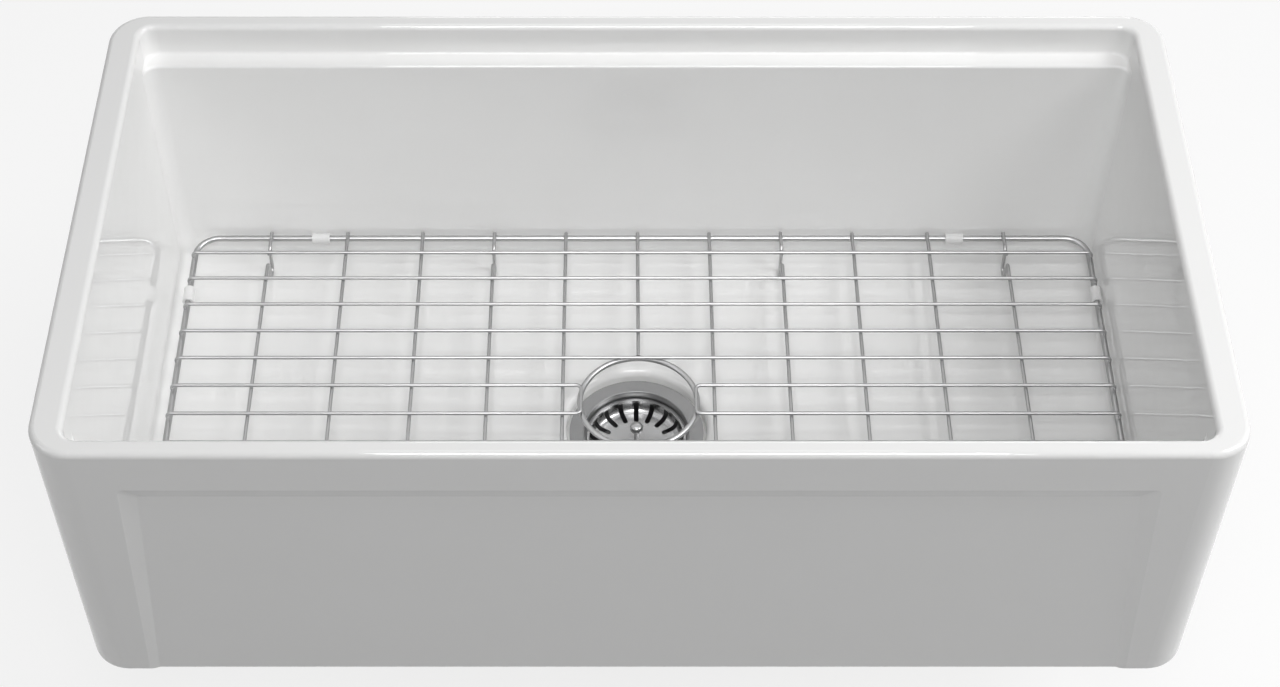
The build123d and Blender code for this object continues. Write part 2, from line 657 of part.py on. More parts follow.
def leg_wire(x):
    """A long wire bent down into a foot near each end."""
    wire_x = GRID_CENTRE_X + x
    foot_middle = LEG_BACK_Y - LEG_FOOT_WIDTH / 2
    low_z = floor_height(wire_x, foot_middle) + FOOT_CLEARANCE + WIRE_RADIUS
    front_leg_top = LEG_BACK_Y - LEG_TOP_WIDTH
    front_leg_low = LEG_BACK_Y - LEG_FOOT_WIDTH
    half = [
        (LONG_WIRE_END, LONG_WIRE_Z),
        (LEG_BACK_Y, LONG_WIRE_Z),
        (LEG_BACK_Y, low_z),
        (front_leg_low, low_z),
        (front_leg_top, LONG_WIRE_Z),
    ]
    points = [(wire_x, y, z) for y, z in half]
    points += [(wire_x, -y, z) for y, z in reversed(half)]
    return bent_wire(points, LEG_BEND, WIRE_RADIUS)


def cross_wire(y):
    """A wire from left to right, with both ends curled down on the rod."""
    left = ROD_LEFT - TIP_OVERHANG
    right = ROD_RIGHT + TIP_OVERHANG
    points = [
        (left, y, TIP_BOTTOM),
        (left, y, CROSS_WIRE_Z),
        (right, y, CROSS_WIRE_Z),
        (right, y, TIP_BOTTOM),
    ]
    return bent_wire(points, TIP_BEND, WIRE_RADIUS)


def hairpin_wire(side):
    """The two middle rows on one side of the drain ring, as one wire; side is 1 on the right."""
    tip_x = ROD_RIGHT + TIP_OVERHANG if side > 0 else ROD_LEFT - TIP_OVERHANG
    turn_x = GRID_CENTRE_X + side * (RING_RADIUS - HAIRPIN_LAP)
    y = HAIRPIN_Y
    points = [
        (tip_x, y, TIP_BOTTOM),
        (tip_x, y, CROSS_WIRE_Z),
        (turn_x, y, CROSS_WIRE_Z),
        (turn_x, -y, CROSS_WIRE_Z),
        (tip_x, -y, CROSS_WIRE_Z),
        (tip_x, -y, TIP_BOTTOM),
    ]
    bends = [TIP_BEND, HAIRPIN_BEND, HAIRPIN_BEND, TIP_BEND]
    return bent_wire(points, bends, WIRE_RADIUS)


def bumper(x, y, along_x):
    """A soft sleeve on the rod, with rounded ends."""
    sleeve = Cylinder(BUMPER_RADIUS, BUMPER_LENGTH)
    sleeve = fillet(sleeve.edges().filter_by(GeomType.CIRCLE), BUMPER_ROUND)
    sleeve -= Cylinder(ROD_RADIUS + BUMPER_BORE_CLEARANCE, 2 * BUMPER_LENGTH)
    turn = Rot(0, 90, 0) if along_x else Rot(90, 0, 0)
    return Pos(x, y, ROD_Z) * turn * sleeve


def both_sides(places):
    """Each place and its mirror image, from the lowest to the highest."""
    return sorted([-place for place in places] + list(places))


def write_basin_and_waste():
    """Pieces that stay with the sink."""
    save(basin(), "basin")
    save(strainer_body(), "strainer_body")
    save(flange_gasket(), "flange_gasket")
    save(under_gasket(), "under_gasket")
    save(friction_ring(), "friction_ring")
    save(lock_nut(), "lock_nut")
    save(tail_washer(), "tail_washer")
    save(tailpiece(), "tailpiece")
    save(coupling_nut(), "coupling_nut")


def write_basket():
    """Pieces that lift out with the knob."""
    save(basket_cup(), "basket_cup")
    save(basket_post(), "basket_post")
    save(post_spacer(), "post_spacer")
    save(stopper(), "stopper")
    save(stopper_nut(), "stopper_nut")


def write_grid():
    """Pieces of the grid, numbered from left to right and from front to back."""
    save(grid_rod(), "grid_rod")
    save(drain_ring(), "drain_ring")
    legged = [LONG_WIRE_X[i] for i in LEGGED_WIRES]
    straight = [x for x in LONG_WIRE_X if x not in legged]
    for number, x in enumerate(both_sides(straight), 1):
        save(long_wire(x), f"long_wire_{number}")
    for number, x in enumerate(both_sides(legged), 1):
        save(leg_wire(x), f"leg_wire_{number}")
    save(centre_wire(-1), "centre_wire_front")
    save(centre_wire(1), "centre_wire_back")
    for number, y in enumerate(both_sides(ROW_Y), 1):
        save(cross_wire(y), f"cross_wire_{number}")
    save(hairpin_wire(-1), "hairpin_wire_left")
    save(hairpin_wire(1), "hairpin_wire_right")
    last_gap = LONG_WIRE_X[-1] - LONG_WIRE_X[-2]
    bumper_x = LONG_WIRE_X[-2] + LONG_BUMPER_SHARE * last_gap
    bumper_y = ROW_Y[SHORT_BUMPER_ROW] + SHORT_BUMPER_SHARE * ROW_PITCH
    for name, side in (("front", -1), ("back", 1)):
        for number, x in enumerate(both_sides([bumper_x]), 1):
            save(bumper(GRID_CENTRE_X + x, side * ROD_Y, True), f"bumper_{name}_{number}")
    for name, rod_x in (("left", ROD_LEFT), ("right", ROD_RIGHT)):
        for number, y in enumerate(both_sides([bumper_y]), 1):
            save(bumper(rod_x, y, False), f"bumper_{name}_{number}")


write_basin_and_waste()
write_basket()
write_grid()
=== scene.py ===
"""Farmhouse apron front sink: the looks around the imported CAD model. Metres, Z up, the apron faces -Y."""

from math import pi, radians

import bmesh
import bpy
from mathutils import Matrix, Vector


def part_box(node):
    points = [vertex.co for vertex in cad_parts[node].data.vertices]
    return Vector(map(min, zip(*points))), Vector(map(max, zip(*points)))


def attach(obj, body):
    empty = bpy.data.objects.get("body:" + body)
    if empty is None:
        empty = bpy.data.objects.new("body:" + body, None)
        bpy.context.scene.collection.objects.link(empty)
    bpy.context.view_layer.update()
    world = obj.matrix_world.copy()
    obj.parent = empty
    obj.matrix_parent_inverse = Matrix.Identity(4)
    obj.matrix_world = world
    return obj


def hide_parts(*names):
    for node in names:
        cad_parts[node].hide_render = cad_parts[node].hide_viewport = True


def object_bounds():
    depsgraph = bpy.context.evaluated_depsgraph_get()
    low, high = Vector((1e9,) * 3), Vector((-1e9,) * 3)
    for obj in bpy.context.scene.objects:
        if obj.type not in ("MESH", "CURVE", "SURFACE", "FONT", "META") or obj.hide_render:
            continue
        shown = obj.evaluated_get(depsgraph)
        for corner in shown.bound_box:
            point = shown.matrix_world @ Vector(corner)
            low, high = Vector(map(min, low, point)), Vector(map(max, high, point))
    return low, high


bl_info = {
    "name": "Farmhouse sink finishes",
    "version": (1, 0, 0),
    "blender": (4, 5, 0),
    "location": "3D View > Sidebar > Sink",
    "description": "Finishes the glazed basin, its wire grid and its basket strainer, and sets the stage",
    "category": "Object",
}

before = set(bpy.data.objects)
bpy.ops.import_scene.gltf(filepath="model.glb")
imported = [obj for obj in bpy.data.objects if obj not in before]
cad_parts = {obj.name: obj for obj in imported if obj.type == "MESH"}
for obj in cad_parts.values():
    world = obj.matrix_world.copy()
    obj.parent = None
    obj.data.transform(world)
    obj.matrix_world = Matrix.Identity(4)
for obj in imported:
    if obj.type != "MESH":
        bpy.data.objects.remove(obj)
CAD_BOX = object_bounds()
MM = 0.001

# The photograph's width in pixels, in which the camera's focal length is given.
IMAGE_WIDTH = 1280
SENSOR_WIDTH = 36.0

WIRES_ALONG_X = [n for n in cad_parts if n.startswith(("cross_wire", "hairpin_wire"))]
WIRES_ALONG_Y = [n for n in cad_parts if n.startswith(("long_wire", "leg_wire", "centre_wire"))]
BUMPERS = [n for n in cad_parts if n.startswith("bumper_")]
WIRE_RADIUS = 1.5 * MM

# Points this near each other are merged.
SAME_PLACE = 0.001 * MM
# Edges flatter than this are shaded smooth.
SMOOTH_ANGLE = radians(50)

# Faces along a bumper and round it, and how far inside its skin its outer points are picked.
SLEEVE_RINGS = 15
SLEEVE_STEPS = 40
SLEEVE_SKIN = 0.2 * MM
SLEEVE_BEVEL_STEPS = 3
SLEEVE_BEVEL_ANGLE = radians(60)
# The slits of the bumpers face this many ways in turn.
SLIT_PLACES = 3

# Sides of a weld, and its shoulder as shares of its radius and of half its height.
WELD_SIDES = 12
WELD_SHOULDER = 0.86
WELD_SHOULDER_HEIGHT = 0.6

# Below this height the basin is bare clay; the glaze ends in a soft and uneven line.
CLAY_LINE = 1.8 * MM
CLAY_LINE_SOFTNESS = 0.6 * MM
CLAY_LINE_WANDER = 1.6 * MM
CLAY_ROUGHNESS = 0.75
SPECK_DARKNESS = 0.55
# The drawing lines of a wire are this many times longer than wide.
DRAWN_LENGTH = 60
DRAWN_ROD_LENGTH = 2

LAMPS = ("key", "front", "left", "side", "near", "back")
LAMP_AIM = Vector((0, 0, 0.1))
FLOOR_SIDE = 14
FLOOR_GAP = 0.5 * MM
FLOOR_SHADE = 0.97


# ---- Shader building ----
class Number:
    """A shader value that takes part in ordinary arithmetic."""

    def __init__(self, finish, socket):
        self.finish = finish
        self.socket = socket

    def maths(self, operation, *values):
        """What a Math node makes of the values."""
        sockets = dict(enumerate(values))
        node = self.finish.node("ShaderNodeMath", {"operation": operation}, sockets)
        return Number(self.finish, node.outputs[0])

    def __add__(self, other):
        return self.maths("ADD", self, other)

    def __sub__(self, other):
        return self.maths("SUBTRACT", self, other)

    def __mul__(self, other):
        return self.maths("MULTIPLY", self, other)

    def __radd__(self, other):
        return self.maths("ADD", other, self)

    def __rsub__(self, other):
        return self.maths("SUBTRACT", other, self)

    def __rmul__(self, other):
        return self.maths("MULTIPLY", other, self)

    def root(self):
        return self.maths("SQRT", self)

    def above(self, edge, softness):
        """0 below the edge, 1 above it, with a soft step as wide as softness."""
        return self.finish.spread(self, edge - softness / 2, edge + softness / 2)


class Nodes:
    """The node tree of a material or a world."""

    def __init__(self, owner):
        owner.use_nodes = True
        self.tree = owner.node_tree

    def node(self, kind, settings=None, sockets=None):
        """Add one node: its settings first, then a value or a link for each of its sockets."""
        node = self.tree.nodes.new(kind)
        for key, value in (settings or {}).items():
            setattr(node, key, value)
        for key, value in (sockets or {}).items():
            if isinstance(value, Number):
                value = value.socket
            if isinstance(value, bpy.types.NodeSocket):
                self.tree.links.new(value, node.inputs[key])
            else:
                node.inputs[key].default_value = value
        return node

    def seen(self):
        """1 for what the camera sees, straight or in a mirror or through glass, else 0."""
        path = self.node("ShaderNodeLightPath")
        kinds = ("Camera", "Glossy", "Transmission")
        rays = [Number(self, path.outputs[f"Is {kind} Ray"]) for kind in kinds]
        return rays[0].maths("MAXIMUM", rays[0], rays[1].maths("MAXIMUM", rays[1], rays[2]))


class Finish(Nodes):
    """A node material, built up from its principled shader."""

    def __init__(self, name, constants=None):
        self.material = bpy.data.materials.new(name)
        super().__init__(self.material)
        self.shader = self.tree.nodes["Principled BSDF"]
        for socket, value in (constants or {}).items():
            self.shader.inputs[socket].default_value = value
        place = self.node("ShaderNodeTexCoord").outputs["Object"]
        parts = self.node("ShaderNodeSeparateXYZ", None, {0: place})
        self.place = place
        self.x, self.y, self.z = (Number(self, out) for out in parts.outputs)

    def spread(self, value, low, high):
        """The value's way from low to high, as 0 to 1 with soft ends."""
        node = self.node(
            "ShaderNodeMapRange",
            {"interpolation_type": "SMOOTHSTEP"},
            {"Value": value, "From Min": low, "From Max": high},
        )
        return Number(self, node.outputs["Result"])

    def radius(self):
        """Distance from the drain's axis."""
        return (self.x * self.x + self.y * self.y).root()

    def vector(self, x, y, z):
        return self.node("ShaderNodeCombineXYZ", None, {0: x, 1: y, 2: z}).outputs[0]

    def noise(self, size, stretch=(1, 1, 1), detail=2.0, place=None):
        """Cloudy noise from 0 to 1, with features about this size, in metres, times the stretch."""
        scale = tuple(1 / (size * s) for s in stretch)
        mapped = self.node("ShaderNodeMapping", None, {"Vector": place or self.place, "Scale": scale})
        sockets = {"Vector": mapped.outputs[0], "Scale": 1.0, "Detail": detail}
        return Number(self, self.node("ShaderNodeTexNoise", None, sockets).outputs[0])

    def specks(self, spacing, size):
        """1 in small round specks, 0 elsewhere."""
        cells = {"Vector": self.place, "Scale": 1 / spacing}
        distance = self.node("ShaderNodeTexVoronoi", None, cells).outputs["Distance"]
        return 1 - Number(self, distance).above(size / spacing, 0.3 * size / spacing)

    def blend(self, first, second, share):
        """Two colours mixed; share is how much of the second. Sockets 6 and 7 take the colours."""
        node = self.node("ShaderNodeMix", {"data_type": "RGBA"}, {0: share, 6: first, 7: second})
        return node.outputs[2]

    def bump(self, height, distance):
        """Raise the surface by height times distance, in metres."""
        normal = self.node("ShaderNodeBump", None, {"Height": height, "Distance": distance}).outputs[0]
        self.tree.links.new(normal, self.shader.inputs["Normal"])

    def feed(self, colour, roughness=None):
        """Connect what varies over the surface to the principled shader."""
        self.tree.links.new(colour, self.shader.inputs["Base Color"])
        if roughness is not None:
            self.tree.links.new(roughness.socket, self.shader.inputs["Roughness"])
        return self.material


def dress(material, *nodes):
    """Give CAD nodes a finish."""
    for name in nodes:
        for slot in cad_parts[name].material_slots:
            slot.material = material


# ---- Finishes ----
def glaze(look):
    """White glaze with a faint waviness; the underside is left as bare, sanded clay."""
    finish = Finish("white_glaze", {"IOR": 1.52})
    cloud = finish.noise(90 * MM, detail=3.0)
    tone = finish.blend(tuple(look.glaze_colour), tuple(look.glaze_shade), cloud)
    specks = finish.specks(11 * MM, 0.16 * MM)
    tone = finish.blend(tone, tuple(look.speck_colour), SPECK_DARKNESS * specks)
    edge = finish.z + CLAY_LINE_WANDER * finish.noise(12 * MM)
    bare = 1 - edge.above(CLAY_LINE, CLAY_LINE_SOFTNESS)
    grit = finish.noise(1.2 * MM, detail=4.0)
    clay = finish.blend(tuple(look.clay_colour), tuple(look.clay_shade), grit)
    colour = finish.blend(tone, clay, bare)
    gloss = look.glaze_roughness + 0.012 * finish.noise(30 * MM)
    roughness = gloss + bare * (CLAY_ROUGHNESS - look.glaze_roughness)
    wave = 0.25 * finish.noise(60 * MM) + 0.0015 * finish.noise(3.5 * MM)
    finish.bump(wave + 0.08 * (bare * grit), 1.1 * MM)
    return finish.feed(colour, roughness)


def drawn_steel(look, name, stretch):
    """Satin stainless wire with faint drawing lines along its length."""
    finish = Finish(name, {"Metallic": 1.0})
    lines = finish.noise(0.4 * MM, stretch, 3.0)
    cloud = finish.noise(30 * MM)
    colour = finish.blend(tuple(look.wire_colour), tuple(look.wire_shade), 0.5 * lines + 0.5 * cloud)
    finish.bump(lines, 0.01 * MM)
    return finish.feed(colour, look.wire_roughness + 0.1 * lines)


def turned_steel(name, light, dark, roughness, depth=0.006 * MM):
    """Stainless steel with the fine rings of a lathe round the drain's axis."""
    finish = Finish(name, {"Metallic": 1.0})
    along = finish.vector(finish.radius(), finish.z, 0.0)
    rings = finish.noise(0.35 * MM, place=along)
    cloud = finish.noise(12 * MM)
    colour = finish.blend(light, dark, 0.5 * rings + 0.5 * cloud)
    finish.bump(rings, depth)
    return finish.feed(colour, roughness + 0.1 * rings)


def soft_vinyl(look):
    """White moulded vinyl with a slightly dull, uneven skin."""
    finish = Finish("white_vinyl", {"IOR": 1.48})
    skin = finish.noise(0.9 * MM, detail=3.0)
    cloud = finish.noise(6 * MM)
    colour = finish.blend(tuple(look.vinyl_colour), tuple(look.vinyl_shade), cloud)
    finish.bump(skin, 0.04 * MM)
    return finish.feed(colour, 0.38 + 0.14 * skin)


def black_rubber():
    """Matte rubber with a fine moulded grain and a little bloom."""
    finish = Finish("black_rubber", {"IOR": 1.5})
    grain = finish.noise(0.5 * MM, detail=3.0)
    bloom = finish.noise(8 * MM)
    colour = finish.blend((0.018, 0.018, 0.019, 1), (0.05, 0.05, 0.052, 1), bloom)
    finish.bump(grain, 0.05 * MM)
    return finish.feed(colour, 0.6 + 0.2 * grain)


def fibre_card():
    """Pressed brown fibre, with short hairs in its surface."""
    finish = Finish("fibre_card")
    hairs = finish.noise(0.6 * MM, (4, 1, 1), 4.0)
    colour = finish.blend((0.36, 0.27, 0.18, 1), (0.52, 0.42, 0.3, 1), hairs)
    finish.bump(hairs, 0.06 * MM)
    return finish.feed(colour, 0.8 + 0.1 * hairs)


def cast_brass():
    """Brass with a slightly grainy cast skin and darker patches of tarnish at random."""
    finish = Finish("cast_brass", {"Metallic": 1.0})
    grain = finish.noise(0.9 * MM, detail=4.0)
    tarnish = finish.noise(12 * MM, detail=3.0)
    colour = finish.blend((0.66, 0.5, 0.24, 1), (0.42, 0.3, 0.14, 1), tarnish)
    finish.bump(grain, 0.08 * MM)
    return finish.feed(colour, 0.34 + 0.2 * grain)


def washer_plastic(name):
    """Dull white plastic or foam with an uneven skin."""
    finish = Finish(name)
    skin = finish.noise(0.8 * MM)
    colour = finish.blend((0.78, 0.78, 0.75, 1), (0.7, 0.7, 0.67, 1), skin)
    return finish.feed(colour, 0.45 + 0.1 * skin)


# ---- Modelling ----
def start_mesh(adder, **facts):
    """Add a primitive with nothing else selected, move its place into its mesh and open it in edit mode."""
    bpy.ops.object.select_all(action="DESELECT")
    adder(**facts)
    bpy.ops.object.transform_apply()
    bpy.ops.object.mode_set(mode="EDIT")
    return bpy.context.object


def select_points(piece, test):
    """In edit mode, select the points whose place passes the test, with the edges between them."""
    bpy.ops.mesh.select_mode(type="VERT")
    mesh = bmesh.from_edit_mesh(piece.data)
    for point in mesh.verts:
        point.select = test(point.co)
    mesh.select_flush(True)
    mesh.select_flush(False)
    bmesh.update_edit_mesh(piece.data)


def close_mesh():
    """Turn every face outwards and leave edit mode."""
    bpy.ops.mesh.select_all(action="SELECT")
    bpy.ops.mesh.remove_doubles(threshold=SAME_PLACE)
    bpy.ops.mesh.normals_make_consistent(inside=False)
    bpy.ops.object.mode_set(mode="OBJECT")


def round_edges(piece, width, segments, angle):
    """Bevel the edges sharper than the angle, then shade the rest smooth."""
    bpy.ops.object.select_all(action="DESELECT")
    piece.select_set(True)
    bpy.context.view_layer.objects.active = piece
    bevel = piece.modifiers.new("rounding", "BEVEL")
    bevel.width = width
    bevel.segments = segments
    bevel.limit_method = "ANGLE"
    bevel.angle_limit = angle
    bpy.ops.object.modifier_apply(modifier=bevel.name)
    bpy.ops.object.shade_smooth_by_angle(angle=SMOOTH_ANGLE)


def turned(name, outline, sides):
    """A closed turned piece round the Z axis: a disc is pulled from ring to ring of (radius, height)."""
    radius, height = outline[0]
    piece = start_mesh(
        bpy.ops.mesh.primitive_circle_add,
        vertices=sides,
        radius=radius,
        location=(0, 0, height),
        fill_type="NGON",
    )
    for new_radius, new_height in outline[1:]:
        bpy.ops.mesh.extrude_region_move(TRANSFORM_OT_translate={"value": (0, 0, new_height - height)})
        share = new_radius / radius
        bpy.ops.transform.resize(value=(share, share, 1), center_override=(0, 0, new_height))
        radius, height = new_radius, new_height
    close_mesh()
    piece.name = name
    return piece


def placed_copy(piece, name, place, turn=0.0, roll=0.0):
    """A copy with its own mesh, rolled about its length, turned about Z and moved."""
    copy = piece.copy()
    copy.data = piece.data.copy()
    copy.name = name
    copy.rotation_euler = (roll, 0, turn)
    copy.location = place
    bpy.context.collection.objects.link(copy)
    bpy.ops.object.select_all(action="DESELECT")
    copy.select_set(True)
    bpy.context.view_layer.objects.active = copy
    bpy.ops.object.transform_apply()
    return copy


def centre(node):
    """Middle of a CAD node's box."""
    low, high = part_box(node)
    return Vector([(a + b) / 2 for a, b in zip(low, high)])


def size(node):
    """Sides of a CAD node's box."""
    low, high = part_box(node)
    return Vector([b - a for a, b in zip(low, high)])


# ---- Settings ----
def colour_property(name, description, default):
    return bpy.props.FloatVectorProperty(
        name=name, description=description, default=default, size=4, min=0, max=1, subtype="COLOR"
    )


def number_property(name, description, default, **facts):
    return bpy.props.FloatProperty(name=name, description=description, default=default, **facts)


def length_property(name, description, millimetres):
    return number_property(name, description, millimetres * MM, min=0, unit="LENGTH")


def place_property(name, description, default):
    return bpy.props.FloatVectorProperty(
        name=name, description=description, default=default, size=3, subtype="TRANSLATION", unit="LENGTH"
    )


class SinkFinishSettings(bpy.types.PropertyGroup):
    """Colours and gloss of the sink's surfaces."""

    glaze_colour: colour_property("Glaze", "White of the glaze", (0.9, 0.9, 0.897, 1))
    glaze_shade: colour_property("Glaze shade", "Where the glaze is thinner", (0.885, 0.885, 0.879, 1))
    speck_colour: colour_property("Speck", "Iron specks in the clay", (0.42, 0.4, 0.37, 1))
    clay_colour: colour_property("Clay", "Bare clay underneath", (0.62, 0.58, 0.52, 1))
    clay_shade: colour_property("Clay shade", "Darker grains of the clay", (0.5, 0.46, 0.4, 1))
    glaze_roughness: number_property("Glaze roughness", "Gloss of the glaze", 0.02, min=0, max=1)
    wire_colour: colour_property("Wire", "Satin steel of the grid", (0.5, 0.5, 0.503, 1))
    wire_shade: colour_property("Wire shade", "Darker drawing lines", (0.41, 0.41, 0.413, 1))
    wire_roughness: number_property("Wire roughness", "Gloss of the wire", 0.27, min=0, max=1)
    flange_colour: colour_property("Flange", "Satin steel of the strainer", (0.35, 0.35, 0.353, 1))
    flange_shade: colour_property("Flange shade", "Darker turning rings", (0.29, 0.29, 0.293, 1))
    cup_colour: colour_property("Cup", "Polished steel of the basket", (0.46, 0.46, 0.462, 1))
    cup_shade: colour_property("Cup shade", "Darker rings of the basket", (0.38, 0.38, 0.383, 1))
    chrome_colour: colour_property("Chrome", "Plating of the waste pipe", (0.52, 0.525, 0.53, 1))
    chrome_shade: colour_property("Chrome shade", "Plating where it is thinner", (0.42, 0.424, 0.43, 1))
    vinyl_colour: colour_property("Bumper", "Vinyl of the bumpers", (0.82, 0.82, 0.82, 1))
    vinyl_shade: colour_property("Bumper shade", "Duller patches of the vinyl", (0.74, 0.74, 0.735, 1))


class SinkShapeSettings(bpy.types.PropertyGroup):
    """Sizes of the pieces modelled here."""

    bumper_bore: length_property("Bumper bore", "Inside width of a bumper", 5.1)
    bumper_bead: length_property("Bumper bead", "Width of the rim at a bumper's end", 2.0)
    bumper_waist: length_property("Bumper waist", "How far a bumper narrows between its rims", 0.35)
    bumper_round: length_property("Bumper rounding", "Rounding of a bumper's edges", 0.35)
    bumper_slit: number_property(
        "Bumper slit",
        "Width of the slit by which a bumper is pushed on",
        radians(14),
        subtype="ANGLE",
        unit="ROTATION",
    )
    weld_radius: length_property("Weld radius", "Where a weld meets its wires", 1.4)
    weld_waist: length_property("Weld waist", "Radius of a weld between its wires", 1.0)
    weld_height: length_property("Weld height", "Height of a weld", 1.5)


class SinkStageSettings(bpy.types.PropertyGroup):
    """Camera, lamps and floor."""

    camera_place: place_property("Camera", "Where the camera stands", (-0.01276, -1.2919, 1.5456))
    camera_pitch: number_property(
        "Pitch", "How far the camera looks down", radians(47.942), subtype="ANGLE", unit="ROTATION"
    )
    camera_focal: number_property("Focal length", "In pixels of the picture's width", 2469.4)
    camera_shift: number_property("Shift", "Sideways shift, as a share of the width", 0.0150)
    key_place: place_property("Key lamp", "Soft lamp, high on the right", (1.6, -0.3, 2.0))
    key_power: number_property("Key power", "Watts of the key lamp", 21.5, min=0)
    key_size: number_property("Key size", "Side of the key lamp", 0.9, min=0, unit="LENGTH")
    front_place: place_property("Front lamp", "Soft lamp, high in front", (0.1, -1.8, 2.6))
    front_power: number_property("Front power", "Watts of the front lamp", 37.0, min=0)
    front_size: number_property("Front size", "Side of the front lamp", 1.2, min=0, unit="LENGTH")
    left_place: place_property("Left lamp", "Soft lamp on the left", (-2.0, -0.6, 1.2))
    left_power: number_property("Left power", "Watts of the left lamp", 6.0, min=0)
    left_size: number_property("Left size", "Side of the left lamp", 1.0, min=0, unit="LENGTH")
    side_place: place_property("Side lamp", "Soft lamp, low on the right", (2.2, 0.1, 1.0))
    side_power: number_property("Side power", "Watts of the side lamp", 15.0, min=0)
    side_size: number_property("Side size", "Side of the side lamp", 1.2, min=0, unit="LENGTH")
    near_place: place_property("Near lamp", "Soft lamp close over the bowl", (0.0, 0.2, 1.4))
    near_power: number_property("Near power", "Watts of the near lamp", 1.6, min=0)
    near_size: number_property("Near size", "Side of the near lamp", 0.6, min=0, unit="LENGTH")
    back_place: place_property("Back lamp", "Soft lamp, low behind", (0.3, 2.6, 0.9))
    back_power: number_property("Back power", "Watts of the back lamp", 14.0, min=0)
    back_size: number_property("Back size", "Side of the back lamp", 1.4, min=0, unit="LENGTH")
    sky_strength: number_property("Sky", "Even light from all round", 0.01, min=0)
    backdrop_strength: number_property("Backdrop", "White of what stands round the sink", 0.97, min=0)
    floor_colour: colour_property("Floor", "Pale floor, as the camera sees it", (0.92, 0.92, 0.92, 1))
    floor_bounce: colour_property("Floor bounce", "Floor as it lights the sink", (0.38, 0.38, 0.38, 1))
    floor_glow: number_property("Floor glow", "Share of plain white in the floor", 0.8, min=0, max=1)


# ---- Pieces and groups ----
class SINK_OT_basin(bpy.types.Operator):
    """Glaze the basin."""

    bl_idname = "sink.basin"
    bl_label = "Basin"

    def execute(self, context):
        dress(glaze(context.scene.sink_finish), "basin")
        return {"FINISHED"}


class SINK_OT_grid(bpy.types.Operator):
    """Finish the wires, the rod and the drain ring of the grid."""

    bl_idname = "sink.grid"
    bl_label = "Wire grid"

    def execute(self, context):
        look = context.scene.sink_finish
        dress(drawn_steel(look, "wire_along_x", (DRAWN_LENGTH, 1, 1)), *WIRES_ALONG_X)
        dress(drawn_steel(look, "wire_along_y", (1, DRAWN_LENGTH, 1)), *WIRES_ALONG_Y)
        rod = drawn_steel(look, "rod_steel", (DRAWN_ROD_LENGTH, DRAWN_ROD_LENGTH, 1))
        dress(rod, "grid_rod", "drain_ring")
        return {"FINISHED"}


class SINK_OT_bumpers(bpy.types.Operator):
    """Model the split vinyl sleeves on the perimeter rod."""

    bl_idname = "sink.bumpers"
    bl_label = "Bumpers"

    def sleeve(self, shape, length, radius):
        """One sleeve along X: a strip of wall is given a waist and spun round the rod, short of a turn."""
        bore = shape.bumper_bore / 2
        middle = (0, 0, (bore + radius) / 2)
        strip = start_mesh(
            bpy.ops.mesh.primitive_grid_add,
            x_subdivisions=SLEEVE_RINGS,
            y_subdivisions=1,
            size=length,
            location=middle,
            rotation=(pi / 2, 0, 0),
        )
        bpy.ops.transform.resize(value=(1, 1, (radius - bore) / length), center_override=middle)
        waist = length / 2 - shape.bumper_bead
        select_points(strip, lambda point: abs(point.x) < waist and point.z > radius - SLEEVE_SKIN)
        bpy.ops.transform.translate(value=(0, 0, -shape.bumper_waist))
        bpy.ops.mesh.select_all(action="SELECT")
        turn = 2 * pi - shape.bumper_slit
        bpy.ops.mesh.spin(steps=SLEEVE_STEPS, angle=turn, center=(0, 0, 0), axis=(1, 0, 0))
        close_mesh()
        round_edges(strip, shape.bumper_round, SLEEVE_BEVEL_STEPS, SLEEVE_BEVEL_ANGLE)
        return strip

    def execute(self, context):
        shape = context.scene.sink_shape
        vinyl = soft_vinyl(context.scene.sink_finish)
        length, radius = max(size(BUMPERS[0])), min(size(BUMPERS[0])) / 2
        pattern = self.sleeve(shape, length, radius)
        for number, node in enumerate(BUMPERS):
            across = size(node).y > size(node).x
            roll = pi + shape.bumper_slit * (number % SLIT_PLACES)
            sleeve = placed_copy(pattern, node + "_sleeve", centre(node), pi / 2 * across, roll)
            sleeve.data.materials.append(vinyl)
            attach(sleeve, "grid")
            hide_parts(node)
        bpy.data.objects.remove(pattern)
        return {"FINISHED"}


class SINK_OT_welds(bpy.types.Operator):
    """Model the small waisted welds that join the grid's wires."""

    bl_idname = "sink.welds"
    bl_label = "Welds"

    def places(self, wire):
        """Where a wire that runs front to back crosses the wires that run along the sink."""
        low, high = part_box(wire)
        x = (low[0] + high[0]) / 2
        found = []
        for other in WIRES_ALONG_X:
            first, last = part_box(other)
            rows = {first[1] + WIRE_RADIUS, last[1] - WIRE_RADIUS}
            for y in sorted(rows):
                if first[0] < x < last[0] and low[1] < y < high[1]:
                    found.append((x, y, high[2]))
        return found

    def execute(self, context):
        shape = context.scene.sink_shape
        steel = drawn_steel(context.scene.sink_finish, "weld_steel", (1, 1, 1))
        flare, waist, half = shape.weld_radius, shape.weld_waist, shape.weld_height / 2
        shoulder, rise = WELD_SHOULDER * flare, WELD_SHOULDER_HEIGHT * half
        outline = [(flare, -half), (shoulder, -rise), (waist, 0), (shoulder, rise), (flare, half)]
        pattern = turned("weld_pattern", outline, WELD_SIDES)
        bpy.ops.object.shade_smooth_by_angle(angle=SMOOTH_ANGLE)
        welds = []
        for wire in WIRES_ALONG_Y:
            for place in self.places(wire):
                welds.append(placed_copy(pattern, "weld", place))
        for weld in welds:
            weld.select_set(True)
        bpy.context.view_layer.objects.active = welds[0]
        bpy.ops.object.join()
        welds[0].name = "grid_welds"
        welds[0].data.materials.append(steel)
        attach(welds[0], "grid")
        bpy.data.objects.remove(pattern)
        return {"FINISHED"}


